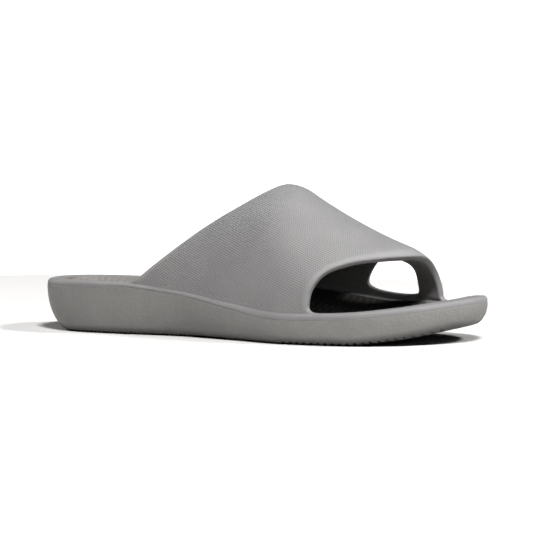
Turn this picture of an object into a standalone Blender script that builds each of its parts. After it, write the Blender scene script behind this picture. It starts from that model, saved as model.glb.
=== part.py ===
"""Slide sandal for the right foot, as three solids: sole, footbed and upper.

Units are metres and +Z is up. +X points to the toes and +Y to the inner (medial)
side of the foot, so the outer (lateral) side is -Y. While a shape is worked out,
x runs from 0 at the back of the heel to LENGTH at the tip of the toes. The solids
are moved at the end, so that the origin is on the floor under the middle.
"""

import math

import bmesh
import bpy
from mathutils import Vector

# Driving sizes of the last and the sole.
LENGTH = 0.270
BALL_WIDTH = 0.100
HEEL_HEIGHT = 0.030
INSTEP_HEIGHT = 0.088

# Sizes of the walls and seams.
FIT = 0.0003
WALL = 0.0045
FRONT_WALL = 0.0058
LIP_WIDTH = 0.0090
LIP_HEIGHT = 0.0037
STRAP_INSET = 0.0024
FRONT_BEAD = 0.12
BED_THICKNESS = 0.0030
SEAM_CHAMFER = 0.0006
BED_EDGE_ROUND = 0.0006

# How long the rounded ends of the outline are, and how square they look.
HEEL_ROUND = 0.040
TOE_ROUND_LATERAL = 0.085
TOE_ROUND_MEDIAL = 0.050
HEEL_SQUARENESS = 2.2
TOE_SQUARENESS = 2.3

# The dish of the footbed, the tuck of the side wall and the arch of the upper.
DISH_END = 0.034
DISH_POWER = 2.4
WALL_TUCK_POWER = 2.1
STRAP_FULLNESS = 2.1

# How far the foot of the strap spreads along the lip.
REAR_FLARE = 0.008
FRONT_FLARE = 0.0042

# Tread grooves run across the sole in two zones, with a smooth waist between.
GROOVE_PITCH = 0.0041
GROOVE_WIDTH = 0.0020
GROOVE_DEPTH = 0.0012
GROOVE_FLOOR_SHARE = 0.6
CUTTER_CLEARANCE = 0.002
TREAD_ZONES = ((0.050, 0.500), (0.650, 0.935))

# The two sides of the foot, as signs of the sideways axis.
LATERAL = -1
MEDIAL = 1

# One row for each section across the foot. "at" is a share of LENGTH from the heel,
# widths are shares of BALL_WIDTH, heights are shares of HEEL_HEIGHT.
SECTION_COLUMNS = (
    "at", "lateral", "medial", "middle", "lip_lateral", "lip_medial", "bed", "base", "tuck")
SECTIONS = (
    (0.00, 0.357, 0.350, 0.000, 0.885, 0.885, 0.80, 0.00, 0.175),
    (0.10, 0.360, 0.350, 0.000, 0.900, 0.862, 0.74, 0.00, 0.067),
    (0.22, 0.365, 0.345, 0.000, 0.892, 0.850, 0.71, 0.00, 0.058),
    (0.36, 0.350, 0.345, 0.000, 0.773, 0.895, 0.69, 0.00, 0.075),
    (0.50, 0.417, 0.395, 0.000, 0.585, 0.830, 0.60, 0.00, 0.070),
    (0.64, 0.499, 0.470, 0.000, 0.455, 0.660, 0.47, 0.00, 0.062),
    (0.76, 0.499, 0.499, 0.018, 0.485, 0.520, 0.43, 0.00, 0.062),
    (0.88, 0.470, 0.467, 0.048, 0.590, 0.530, 0.48, 0.10, 0.072),
    (1.00, 0.400, 0.402, 0.116, 0.735, 0.735, 0.74, 0.29, 0.100),
)

# The ridge of the strap: height as a share of INSTEP_HEIGHT, sideways place of BALL_WIDTH.
RIDGE_COLUMNS = ("at", "height", "place")
RIDGE = (
    (0.20, 0.540, 0.030),
    (0.33, 0.763, 0.050),
    (0.41, 0.872, 0.060),
    (0.48, 0.955, 0.070),
    (0.56, 1.000, 0.080),
    (0.59, 0.972, 0.085),
    (0.63, 0.907, 0.090),
    (0.70, 0.783, 0.095),
    (0.78, 0.663, 0.100),
    (0.85, 0.578, 0.105),
    (0.90, 0.520, 0.110),
)

# The two open edges of the strap. "turn" goes over the foot from the lateral
# lip (0) across the ridge (0.5) to the medial lip (1).
EDGE_COLUMNS = ("turn", "rear", "front")
EDGES = (
    (0.00, 0.268, 0.687),
    (0.06, 0.291, 0.690),
    (0.14, 0.333, 0.712),
    (0.24, 0.405, 0.765),
    (0.33, 0.502, 0.812),
    (0.42, 0.551, 0.843),
    (0.50, 0.562, 0.856),
    (0.62, 0.530, 0.860),
    (0.76, 0.420, 0.860),
    (0.90, 0.290, 0.861),
    (1.00, 0.235, 0.862),
)

# The window in the medial wall, as shares along the strap and as turns over the foot.
WINDOW_REAR = 0.720
WINDOW_FRONT = 0.918
WINDOW_TOP = 0.755
WINDOW_FOOT = 0.988
WINDOW_SQUARENESS = 4.8
WINDOW_REACH = 1.8

# The moulded lip seen end on: shares of LIP_WIDTH inward and of LIP_HEIGHT upward.
LIP_OUTER = ((0.06, 0.00), (0.00, 0.16), (0.01, 0.52), (0.08, 0.83), (0.20, 0.98))
LIP_INNER = ((0.92, 0.95), (1.00, 0.82))

# How finely the solids are divided.
HEEL_STEPS = 9
STRAP_STEPS_BEHIND_WINDOW = 14
STRAP_STEPS_AT_WINDOW = 6
STRAP_STEPS_BEFORE_WINDOW = 2
TOE_STEPS = 11
TURN_STEPS = 20
WINDOW_TURN_STEPS = 6
NOSE_STEPS = 4
SOLE_STEPS = 40
SOLE_WALL_STEPS = 7
ROW_STEPS = 10

FOAM_SOLE = ("moulded_foam_sole", (0.215, 0.209, 0.203, 1.0), 0.62)
FOAM_UPPER = ("moulded_foam_upper", (0.262, 0.256, 0.252, 1.0), 0.58)
FOAM_BED = ("moulded_foam_footbed", (0.190, 0.186, 0.182, 1.0), 0.70)


def end_slopes(places, values):
    """Slopes at the rows of a table, for a curve that never overshoots them."""
    steps = [b - a for a, b in zip(places, places[1:])]
    rises = [(b - a) / step for a, b, step in zip(values, values[1:], steps)]
    slopes = [rises[0]]
    for index in range(1, len(places) - 1):
        before, after = rises[index - 1], rises[index]
        if before * after <= 0:
            slopes.append(0.0)
            continue
        weight_a = 2 * steps[index] + steps[index - 1]
        weight_b = steps[index] + 2 * steps[index - 1]
        slopes.append((weight_a + weight_b) / (weight_a / before + weight_b / after))
    slopes.append(rises[-1])
    return slopes


def make_curve(table, columns, name):
    """A smooth function of a table's first column that passes through the named one."""
    places = [row[0] for row in table]
    values = [row[columns.index(name)] for row in table]
    slopes = end_slopes(places, values)

    def curve(place):
        place = min(max(place, places[0]), places[-1])
        index = 0
        while index < len(places) - 2 and place > places[index + 1]:
            index += 1
        step = places[index + 1] - places[index]
        t = (place - places[index]) / step
        start = values[index] * (1 + 2 * t) * (1 - t) ** 2
        start += slopes[index] * step * t * (1 - t) ** 2
        end = values[index + 1] * t * t * (3 - 2 * t)
        end += slopes[index + 1] * step * t * t * (t - 1)
        return start + end

    return curve


SECTION = {name: make_curve(SECTIONS, SECTION_COLUMNS, name) for name in SECTION_COLUMNS[1:]}
RIDGE_AT = {name: make_curve(RIDGE, RIDGE_COLUMNS, name) for name in RIDGE_COLUMNS[1:]}
EDGE_AT = {name: make_curve(EDGES, EDGE_COLUMNS, name) for name in EDGE_COLUMNS[1:]}


def end_round(distance, length, squareness):
    """Share of full width at a distance from a rounded end, from 0 to 1."""
    t = min(max(1 - distance / length, 0.0), 1.0)
    return (1 - t ** squareness) ** (1 / squareness)


def edge_y(x, side):
    """Sideways place of the outline at x on one side."""
    at = x / LENGTH
    width = SECTION["lateral" if side == LATERAL else "medial"](at) * BALL_WIDTH
    toe_round = TOE_ROUND_LATERAL if side == LATERAL else TOE_ROUND_MEDIAL
    width *= end_round(x, HEEL_ROUND, HEEL_SQUARENESS)
    width *= end_round(LENGTH - x, toe_round, TOE_SQUARENESS)
    return SECTION["middle"](at) * BALL_WIDTH + side * width


def lip_line(x, side):
    """Height of the joint between sole and lip."""
    name = "lip_lateral" if side == LATERAL else "lip_medial"
    return SECTION[name](x / LENGTH) * HEEL_HEIGHT


def bed_height(x):
    return SECTION["bed"](x / LENGTH) * HEEL_HEIGHT


def base_height(x):
    """Height of the underside above the floor: 0 where it stands, more under the toes."""
    return SECTION["base"](x / LENGTH) * HEEL_HEIGHT


def tuck(x):
    """How far the side wall comes in between the lip and the underside."""
    return SECTION["tuck"](x / LENGTH) * BALL_WIDTH


def outline_middle():
    """Sideways middle of the whole outline."""
    places = [LENGTH * step / 200 for step in range(1, 200)]
    widest = max(edge_y(x, MEDIAL) for x in places)
    narrowest = min(edge_y(x, LATERAL) for x in places)
    return (widest + narrowest) / 2


class Rim:
    """Stations round the outline: heel, lateral side, toe, medial side, back to the heel."""

    def __init__(self, lateral_places, medial_places):
        self.stations = [(0.0, LATERAL)]
        self.stations += [(x, LATERAL) for x in lateral_places]
        self.stations.append((LENGTH, LATERAL))
        self.stations += [(x, MEDIAL) for x in reversed(medial_places)]
        self.count = len(self.stations)
        self.toe = len(lateral_places) + 1

    def inward(self, index):
        x, side = self.stations[index]
        if index == 0:
            return (1.0, 0.0)
        if index == self.toe:
            return (-1.0, 0.0)
        reach = 0.00002
        slope = (edge_y(x + reach, side) - edge_y(x - reach, side)) / (2 * reach)
        length = math.hypot(slope, 1.0)
        return (side * slope / length, -side / length)

    def point(self, index, inset, height):
        """A point inset from the outline, at a height above the floor."""
        x, side = self.stations[index]
        along, across = self.inward(index)
        return Vector((x + along * inset, edge_y(x, side) + across * inset, height))

    def lip_height(self, index):
        x, side = self.stations[index]
        return lip_line(x, side)

    def pairs(self):
        """Lateral and medial stations that face each other, from heel to toe."""
        return [(index, self.count - index) for index in range(1, self.toe)]


def eased_places(start, end, steps, ease_start, ease_end):
    """Places from start to end, closer together at the eased ends, ends left out."""
    places = []
    for step in range(1, steps):
        t = step / steps
        if ease_start and ease_end:
            share = (1 - math.cos(math.pi * t)) / 2
        elif ease_start:
            share = 1 - math.cos(math.pi * t / 2)
        elif ease_end:
            share = math.sin(math.pi * t / 2)
        else:
            share = t
        places.append(start + (end - start) * share)
    return places


def spread(start, end, steps):
    """Even places from start up to, but without, end."""
    return [start + (end - start) * step / steps for step in range(steps)]


def strap_columns():
    """Shares along the strap from its rear edge (0) to its front edge (1)."""
    columns = spread(0.0, WINDOW_REAR, STRAP_STEPS_BEHIND_WINDOW)
    columns += spread(WINDOW_REAR, WINDOW_FRONT, STRAP_STEPS_AT_WINDOW)
    columns += spread(WINDOW_FRONT, 1.0, STRAP_STEPS_BEFORE_WINDOW)
    return columns + [1.0]


def strap_turns():
    """Turns over the foot, from the lateral lip (0) to the medial lip (1)."""
    first = 1 - WINDOW_FOOT
    turns = [0.0] + spread(first, WINDOW_TOP, TURN_STEPS)
    turns += spread(WINDOW_TOP, WINDOW_FOOT, WINDOW_TURN_STEPS)
    return turns + [WINDOW_FOOT, 1.0]


def rim_for_strap(columns):
    """Rim whose stations line up with the strap's columns on both sides."""
    sides = []
    for turn in (0.0, 1.0):
        rear = EDGE_AT["rear"](turn) * LENGTH - REAR_FLARE
        front = EDGE_AT["front"](turn) * LENGTH + FRONT_FLARE
        places = eased_places(0.0, rear, HEEL_STEPS, True, False)
        places += [rear + (front - rear) * share for share in columns]
        places += eased_places(front, LENGTH, TOE_STEPS, False, True)
        sides.append(places)
    return Rim(sides[0], sides[1])


def strap_surface(share, turn):
    """Point on the outside of the strap."""
    rear, front = EDGE_AT["rear"](turn), EDGE_AT["front"](turn)
    x = (rear + (front - rear) * share) * LENGTH
    side = LATERAL if turn < 0.5 else MEDIAL
    foot_y = edge_y(x, side) - side * STRAP_INSET
    foot_z = lip_line(x, side) + LIP_HEIGHT
    ridge_y = RIDGE_AT["place"](x / LENGTH) * BALL_WIDTH
    ridge_z = RIDGE_AT["height"](x / LENGTH) * INSTEP_HEIGHT
    angle = math.pi * turn
    across = abs(math.cos(angle)) ** (2 / STRAP_FULLNESS)
    upward = abs(math.sin(angle)) ** (2 / STRAP_FULLNESS)
    y = ridge_y + (foot_y - ridge_y) * across
    z = foot_z + (ridge_z - foot_z) * upward
    return Vector((x, y, z))


def strap_outward(share, turn):
    """Outward direction of the strap at a point."""
    reach = 0.002
    ahead = strap_surface(share + reach, turn) - strap_surface(share - reach, turn)
    over = strap_surface(share, turn + reach) - strap_surface(share, turn - reach)
    return ahead.cross(over).normalized()


def wall_thickness(share):
    """Thickness of the strap, which swells to a bead along its front edge."""
    t = min(max((share - 1 + FRONT_BEAD) / FRONT_BEAD, 0.0), 1.0)
    return WALL + (FRONT_WALL - WALL) * t * t * (3 - 2 * t)


def round_the_window(share, turn):
    """Pull the lines near the window from its square frame onto its rounded outline."""
    half_share = (WINDOW_FRONT - WINDOW_REAR) / 2
    half_turn = (WINDOW_FOOT - WINDOW_TOP) / 2
    middle_share = WINDOW_REAR + half_share
    middle_turn = WINDOW_TOP + half_turn
    a = (share - middle_share) / half_share
    b = (turn - middle_turn) / half_turn
    square = max(abs(a), abs(b))
    if square < 0.999 or square >= WINDOW_REACH:
        return share, turn
    power = WINDOW_SQUARENESS
    rounded = (abs(a / square) ** power + abs(b / square) ** power) ** (-1 / power)
    fade = (WINDOW_REACH - square) / (WINDOW_REACH - 1)
    pull = 1 + (rounded - 1) * min(fade, 1.0)
    return middle_share + a * pull * half_share, middle_turn + b * pull * half_turn


def nose_points(outer, inner, forward):
    """Points of the half-round edge between the outside and the inside of the wall."""
    middle = (outer + inner) / 2
    upward = (outer - inner) / 2
    sideways = forward.normalized() * upward.length
    points = []
    for step in range(1, NOSE_STEPS):
        angle = math.pi * step / NOSE_STEPS
        points.append(middle + upward * math.cos(angle) + sideways * math.sin(angle))
    return points


def square_to(direction, *others):
    """The part of a direction that is square to the others."""
    for other in others:
        unit = other.normalized()
        direction = direction - unit * direction.dot(unit)
    return direction


def join_strips(mesh, strip_a, strip_b):
    """Quads between two rows of corners."""
    for a, b, c, d in zip(strip_a, strip_a[1:], strip_b[1:], strip_b):
        corners = []
        for corner in (a, b, c, d):
            if corner not in corners:
                corners.append(corner)
        if len(corners) > 2:
            mesh.faces.new(corners)


def closed(strip):
    return strip + strip[:1]


def finish_solid(mesh, name, finish):
    """Turn a mesh into a named object with its material, moved to the part's frame."""
    bmesh.ops.recalc_face_normals(mesh, faces=mesh.faces)
    offset = Vector((-LENGTH / 2, -outline_middle(), 0.0))
    bmesh.ops.translate(mesh, verts=mesh.verts, vec=offset)
    data = bpy.data.meshes.new(name)
    mesh.to_mesh(data)
    mesh.free()
    data.shade_smooth()
    data.set_sharp_from_angle(angle=math.radians(40))
    solid = bpy.data.objects.new(name, data)
    bpy.context.scene.collection.objects.link(solid)
    if finish:
        label, colour, roughness = finish
        material = bpy.data.materials.new(label)
        material.use_nodes = True
        shader = material.node_tree.nodes["Principled BSDF"]
        shader.inputs["Base Color"].default_value = colour
        shader.inputs["Roughness"].default_value = roughness
        shader.inputs["Metallic"].default_value = 0.0
        data.materials.append(material)
    return solid


def lip_profile():
    """The lip seen end on, from its outer foot over the top to its inner foot."""
    profile = [(inset * LIP_WIDTH, FIT + rise * (LIP_HEIGHT - FIT)) for inset, rise in LIP_OUTER]
    strap_start = len(profile)
    for step in range(NOSE_STEPS + 1):
        profile.append((STRAP_INSET + WALL * step / NOSE_STEPS, LIP_HEIGHT))
    profile += [(inset * LIP_WIDTH, FIT + rise * (LIP_HEIGHT - FIT)) for inset, rise in LIP_INNER]
    profile.append((LIP_WIDTH, FIT))
    return profile, strap_start


def build_upper():
    """One moulded wall: a lip all round the sole and the strap that grows out of it."""
    mesh = bmesh.new()
    columns, turns = strap_columns(), strap_turns()
    rim = rim_for_strap(columns)
    profile, outer_line = lip_profile()
    inner_line = outer_line + NOSE_STEPS
    lip = []
    for index in range(rim.count):
        height = rim.lip_height(index)
        lip.append([mesh.verts.new(rim.point(index, inset, height + rise)) for inset, rise in profile])

    last = len(columns) - 1
    lateral_start = HEEL_STEPS
    medial_start = rim.count - HEEL_STEPS
    lateral = [lip[lateral_start + step] for step in range(last + 1)]
    medial = [lip[medial_start - step] for step in range(last + 1)]
    under_strap = set(range(lateral_start, lateral_start + last))
    under_strap |= set(range(medial_start - last, medial_start))
    for index in range(rim.count):
        ring, following = lip[index], lip[(index + 1) % rim.count]
        join_strips(mesh, ring[:outer_line + 1], following[:outer_line + 1])
        join_strips(mesh, ring[inner_line:] + ring[:1], following[inner_line:] + following[:1])
        if index not in under_strap:
            join_strips(mesh, ring[outer_line:inner_line + 1], following[outer_line:inner_line + 1])

    build_strap(mesh, columns, turns, lateral, medial, outer_line, inner_line)
    return finish_solid(mesh, "upper", FOAM_UPPER)


def build_strap(mesh, columns, turns, lateral, medial, outer_line, inner_line):
    """The strap's two skins, its half-round edges and the window."""
    last_column, last_turn = len(columns) - 1, len(turns) - 1
    outside, inside = {}, {}
    for column, share in enumerate(columns):
        for row, turn in enumerate(turns):
            if row in (0, last_turn):
                foot = lateral[column] if row == 0 else medial[column]
                outside[column, row] = foot[outer_line]
                inside[column, row] = foot[inner_line]
                continue
            pulled = round_the_window(share, turn)
            point, outward = strap_surface(*pulled), strap_outward(*pulled)
            outside[column, row] = mesh.verts.new(point)
            inside[column, row] = mesh.verts.new(point - outward * wall_thickness(pulled[0]))

    window_columns = (STRAP_STEPS_BEHIND_WINDOW, STRAP_STEPS_BEHIND_WINDOW + STRAP_STEPS_AT_WINDOW)
    window_rows = (1 + TURN_STEPS, 1 + TURN_STEPS + WINDOW_TURN_STEPS)
    for skin in (outside, inside):
        for column in range(last_column):
            for row in range(last_turn):
                in_columns = window_columns[0] <= column < window_columns[1]
                in_rows = window_rows[0] <= row < window_rows[1]
                if in_columns and in_rows:
                    continue
                corners = ((column, row), (column + 1, row), (column + 1, row + 1), (column, row + 1))
                mesh.faces.new([skin[corner] for corner in corners])

    for column, neighbour in ((0, 1), (last_column, last_column - 1)):
        noses = [lateral[column][outer_line:inner_line + 1]]
        for row in range(1, last_turn):
            outer, inner = outside[column, row], inside[column, row]
            along = outside[column, row + 1].co - outside[column, row - 1].co
            forward = outer.co - outside[neighbour, row].co
            forward = square_to(forward, outer.co - inner.co, along)
            middle = [mesh.verts.new(point) for point in nose_points(outer.co, inner.co, forward)]
            noses.append([outer] + middle + [inner])
        noses.append(medial[column][outer_line:inner_line + 1])
        for nose, following in zip(noses, noses[1:]):
            join_strips(mesh, nose, following)

    frame = [(column, window_rows[0]) for column in range(*window_columns)]
    frame += [(window_columns[1], row) for row in range(*window_rows)]
    frame += [(column, window_rows[1]) for column in range(window_columns[1], window_columns[0], -1)]
    frame += [(window_columns[0], row) for row in range(window_rows[1], window_rows[0], -1)]
    centre = sum((outside[place].co for place in frame), Vector()) / len(frame)
    noses = []
    for index, place in enumerate(frame):
        outer, inner = outside[place], inside[place]
        before, after = frame[index - 1], frame[(index + 1) % len(frame)]
        along = outside[after].co - outside[before].co
        forward = square_to(centre - outer.co, outer.co - inner.co, along)
        middle = [mesh.verts.new(point) for point in nose_points(outer.co, inner.co, forward)]
        noses.append([outer] + middle + [inner])
    for nose, following in zip(noses, noses[1:] + noses[:1]):
        join_strips(mesh, nose, following)
    for corner in [vertex for vertex in mesh.verts if not vertex.link_faces]:
        mesh.verts.remove(corner)


def dish_height(x, share, side):
    """Height of the footbed's seat, at a share of the way from the middle to one side."""
    centre = bed_height(x) - BED_THICKNESS - FIT
    rise = lip_line(x, side) - centre
    inner_end = end_round(x - LIP_WIDTH, DISH_END, 2.0)
    inner_end *= end_round(LENGTH - LIP_WIDTH - x, DISH_END, 2.0)
    return lip_line(x, side) - rise * (1 - abs(share) ** DISH_POWER) * inner_end


def dished_rows(mesh, rim, ring, lift):
    """Rows across the foot between facing stations of a ring, closed at heel and toe."""
    rows = []
    for lateral, medial in rim.pairs():
        row = [ring[lateral]]
        start, end = ring[lateral].co, ring[medial].co
        for step in range(1, ROW_STEPS):
            t = step / ROW_STEPS
            share = 2 * t - 1
            point = start.lerp(end, t)
            point.z = dish_height(point.x, share, LATERAL if share < 0 else MEDIAL) + lift
            if share == 0:
                low = dish_height(point.x, 0.0, LATERAL) + dish_height(point.x, 0.0, MEDIAL)
                point.z = low / 2 + lift
            row.append(mesh.verts.new(point))
        row.append(ring[medial])
        rows.append(row)
    close_rows(mesh, rim, ring, rows)


def close_rows(mesh, rim, ring, rows):
    """Faces between rows, and fans from the first and last row to the two tips."""
    for row, following in zip(rows, rows[1:]):
        join_strips(mesh, row, following)
    for tip, row in ((ring[0], rows[0]), (ring[rim.toe], rows[-1])):
        for a, b in zip(row, row[1:]):
            mesh.faces.new((tip, a, b))


def even_rim(steps):
    places = eased_places(0.0, LENGTH, steps, True, True)
    return Rim(places, places)


def ring_of(mesh, rim, inset, height):
    """Corners all round the rim; inset and height are functions of a station."""
    return [mesh.verts.new(rim.point(index, inset(index), height(index))) for index in range(rim.count)]


def build_footbed():
    """A dished layer of even thickness that lies inside the lip."""
    mesh = bmesh.new()
    rim = even_rim(SOLE_STEPS)
    side = LIP_WIDTH + FIT
    low = FIT
    high = FIT + BED_THICKNESS
    profile = (
        (side, low),
        (side, high - BED_EDGE_ROUND),
        (side + BED_EDGE_ROUND, high),
    )
    rings = []
    for inset, lift in profile:
        rings.append(ring_of(mesh, rim, lambda _: inset, lambda index: rim.lip_height(index) + lift))
    for ring, following in zip(rings, rings[1:]):
        join_strips(mesh, closed(ring), closed(following))
    dished_rows(mesh, rim, rings[0], low)
    dished_rows(mesh, rim, rings[-1], high)
    return finish_solid(mesh, "footbed", FOAM_BED)


def build_sole():
    """The sole: side wall that tucks in to the floor, flat underside, toe spring and seat."""
    mesh = bmesh.new()
    rim = even_rim(SOLE_STEPS)

    def x_of(index):
        return rim.stations[index][0]

    seat = ring_of(mesh, rim, lambda _: LIP_WIDTH, rim.lip_height)
    rings = [seat, ring_of(mesh, rim, lambda _: SEAM_CHAMFER, rim.lip_height)]
    for step in range(SOLE_WALL_STEPS + 1):
        fall = 1 - math.cos(math.pi / 2 * step / SOLE_WALL_STEPS)
        fall = 0.5 * fall + 0.5 * step / SOLE_WALL_STEPS
        inward = 1 - (1 - fall ** WALL_TUCK_POWER) ** (1 / WALL_TUCK_POWER)

        def inset(index):
            return tuck(x_of(index)) * inward

        def height(index):
            top = rim.lip_height(index) - SEAM_CHAMFER
            return top + (base_height(x_of(index)) - top) * fall

        rings.append(ring_of(mesh, rim, inset, height))
    for ring, following in zip(rings, rings[1:]):
        join_strips(mesh, closed(ring), closed(following))
    dished_rows(mesh, rim, seat, 0.0)

    foot = rings[-1]
    rows = []
    for lateral, medial in rim.pairs():
        start, end = foot[lateral].co, foot[medial].co
        row = [foot[lateral]]
        for t in (0.25, 0.5, 0.75):
            row.append(mesh.verts.new(start.lerp(end, t)))
        rows.append(row + [foot[medial]])
    close_rows(mesh, rim, foot, rows)
    sole = finish_solid(mesh, "sole", FOAM_SOLE)

    cut = sole.modifiers.new("tread", "BOOLEAN")
    cut.operation = "DIFFERENCE"
    cut.solver = "EXACT"
    cut.object = build_tread_cutter()
    return sole


def build_tread_cutter():
    """Wedges that cut the tread grooves, each square to the underside where it lies."""
    mesh = bmesh.new()
    lean = (1 - GROOVE_FLOOR_SHARE) * GROOVE_WIDTH / 2 / GROOVE_DEPTH
    mouth_half = GROOVE_WIDTH / 2 + CUTTER_CLEARANCE * lean
    top_half = GROOVE_WIDTH / 2 - GROOVE_DEPTH * lean
    section = (
        (-mouth_half, -CUTTER_CLEARANCE),
        (mouth_half, -CUTTER_CLEARANCE),
        (top_half, GROOVE_DEPTH),
        (-top_half, GROOVE_DEPTH),
    )
    for start, end in TREAD_ZONES:
        count = round((end - start) * LENGTH / GROOVE_PITCH)
        for step in range(count + 1):
            x = start * LENGTH + step * GROOVE_PITCH
            slope = math.atan2(base_height(x + 0.001) - base_height(x - 0.001), 0.002)
            along = Vector((math.cos(slope), 0.0, math.sin(slope)))
            upward = Vector((-math.sin(slope), 0.0, math.cos(slope)))
            middle = Vector((x, 0.0, base_height(x)))
            corners = []
            for y in (-BALL_WIDTH, BALL_WIDTH):
                for out, up in section:
                    corner = middle + along * out + upward * up
                    corners.append(mesh.verts.new((corner.x, y, corner.z)))
            near, far = corners[:4], corners[4:]
            join_strips(mesh, closed(near), closed(far))
            mesh.faces.new(near)
            mesh.faces.new(far)
    cutter = finish_solid(mesh, "tread_cutter", None)
    cutter.hide_render = True
    cutter.display_type = "WIRE"
    return cutter


for thing in list(bpy.data.objects):
    bpy.data.objects.remove(thing)

build_sole()
build_footbed()
build_upper()
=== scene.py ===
# %% [markdown]
# # A slide sandal in moulded foam
# The real sandal is three pieces of EVA, a closed-cell foam that is pressed in a hot
# mould: a sole, a footbed and an upper whose strap grows out of the lip round the sole.
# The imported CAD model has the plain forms. This lesson builds each piece again, finer, in
# the same place, gives it the texture of its mould, and then sets up the studio.

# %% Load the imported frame
import math

import bmesh
import bpy
import numpy as np
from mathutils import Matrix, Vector


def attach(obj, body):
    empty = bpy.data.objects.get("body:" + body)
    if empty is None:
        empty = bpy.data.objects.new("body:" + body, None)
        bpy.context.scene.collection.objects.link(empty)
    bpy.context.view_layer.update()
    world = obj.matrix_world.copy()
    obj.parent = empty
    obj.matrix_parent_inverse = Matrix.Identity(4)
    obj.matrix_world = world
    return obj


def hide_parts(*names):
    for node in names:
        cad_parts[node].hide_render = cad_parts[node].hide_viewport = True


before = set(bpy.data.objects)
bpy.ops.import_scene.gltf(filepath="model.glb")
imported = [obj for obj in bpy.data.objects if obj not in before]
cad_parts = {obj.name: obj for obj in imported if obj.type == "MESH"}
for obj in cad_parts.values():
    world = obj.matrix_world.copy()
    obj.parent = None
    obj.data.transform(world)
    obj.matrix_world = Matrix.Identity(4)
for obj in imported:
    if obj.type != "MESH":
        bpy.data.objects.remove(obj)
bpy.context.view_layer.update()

# %% [markdown]
# ## The last in a few tables
# A shoe is drawn as sections across the foot. Each row below is one section, and a smooth
# curve runs through every column. Tables are used rather than a sculpted mesh, because a
# shape that is a function can be divided as finely as each piece needs, and pieces that
# share an outline then meet exactly. They are the CAD model's tables, but the ridge is a
# little higher just in front of its top.

# %% Sizes and tables
MM = 0.001
LENGTH = 0.270
BALL_WIDTH = 0.100
HEEL_HEIGHT = 0.030
INSTEP_HEIGHT = 0.088
LATERAL, MEDIAL = -1, 1

SECTION_COLUMNS = (
    "at", "lateral", "medial", "middle", "lip_lateral", "lip_medial", "bed", "base", "tuck")
SECTIONS = (
    (0.00, 0.357, 0.350, 0.000, 0.885, 0.885, 0.80, 0.00, 0.175),
    (0.10, 0.360, 0.350, 0.000, 0.900, 0.862, 0.74, 0.00, 0.067),
    (0.22, 0.365, 0.345, 0.000, 0.892, 0.850, 0.71, 0.00, 0.058),
    (0.36, 0.350, 0.345, 0.000, 0.773, 0.895, 0.69, 0.00, 0.075),
    (0.50, 0.417, 0.395, 0.000, 0.585, 0.830, 0.60, 0.00, 0.070),
    (0.64, 0.499, 0.470, 0.000, 0.455, 0.660, 0.47, 0.00, 0.062),
    (0.76, 0.499, 0.499, 0.018, 0.485, 0.520, 0.43, 0.00, 0.062),
    (0.88, 0.470, 0.467, 0.048, 0.590, 0.530, 0.48, 0.10, 0.072),
    (1.00, 0.400, 0.402, 0.116, 0.735, 0.735, 0.74, 0.29, 0.100),
)
RIDGE_COLUMNS = ("at", "height", "place")
RIDGE = (
    (0.20, 0.540, 0.030),
    (0.33, 0.763, 0.050),
    (0.41, 0.872, 0.060),
    (0.48, 0.955, 0.070),
    (0.56, 1.000, 0.080),
    (0.59, 0.982, 0.085),
    (0.63, 0.907, 0.090),
    (0.70, 0.783, 0.095),
    (0.78, 0.663, 0.100),
    (0.85, 0.578, 0.105),
    (0.90, 0.520, 0.110),
)
EDGE_COLUMNS = ("turn", "rear", "front")
EDGES = (
    (0.00, 0.268, 0.687),
    (0.06, 0.291, 0.690),
    (0.14, 0.333, 0.712),
    (0.24, 0.405, 0.765),
    (0.33, 0.502, 0.812),
    (0.42, 0.551, 0.843),
    (0.50, 0.562, 0.856),
    (0.62, 0.530, 0.860),
    (0.76, 0.420, 0.860),
    (0.90, 0.290, 0.861),
    (1.00, 0.235, 0.862),
)


def end_slopes(places, values):
    """Slopes at the rows of a table, for a curve that never overshoots them."""
    steps = [b - a for a, b in zip(places, places[1:])]
    rises = [(b - a) / step for a, b, step in zip(values, values[1:], steps)]
    slopes = [rises[0]]
    for index in range(1, len(places) - 1):
        before, after = rises[index - 1], rises[index]
        if before * after <= 0:
            slopes.append(0.0)
            continue
        weight_a = 2 * steps[index] + steps[index - 1]
        weight_b = steps[index] + 2 * steps[index - 1]
        slopes.append((weight_a + weight_b) / (weight_a / before + weight_b / after))
    slopes.append(rises[-1])
    return slopes


def make_curve(table, columns, name):
    """A smooth function of a table's first column that passes through the named one."""
    places = [row[0] for row in table]
    values = [row[columns.index(name)] for row in table]
    slopes = end_slopes(places, values)

    def curve(place):
        place = min(max(place, places[0]), places[-1])
        index = 0
        while index < len(places) - 2 and place > places[index + 1]:
            index += 1
        step = places[index + 1] - places[index]
        t = (place - places[index]) / step
        start = values[index] * (1 + 2 * t) * (1 - t) ** 2
        start += slopes[index] * step * t * (1 - t) ** 2
        end = values[index + 1] * t * t * (3 - 2 * t)
        end += slopes[index + 1] * step * t * t * (t - 1)
        return start + end

    return curve


SECTION = {name: make_curve(SECTIONS, SECTION_COLUMNS, name) for name in SECTION_COLUMNS[1:]}
RIDGE_AT = {name: make_curve(RIDGE, RIDGE_COLUMNS, name) for name in RIDGE_COLUMNS[1:]}
EDGE_AT = {name: make_curve(EDGES, EDGE_COLUMNS, name) for name in EDGE_COLUMNS[1:]}
print("ball of the foot:", round(SECTION["lateral"](0.7) * BALL_WIDTH / MM, 1), "mm to the side")

# %% [markdown]
# ## The outline on the floor
# Seen from above, the sandal is a long rounded outline. The two ends are superellipses,
# which are fuller than a circle. The outline is walked station by station, and at each
# station a point can be set inward from it, so that lip, wall and footbed share one rim.

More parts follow.
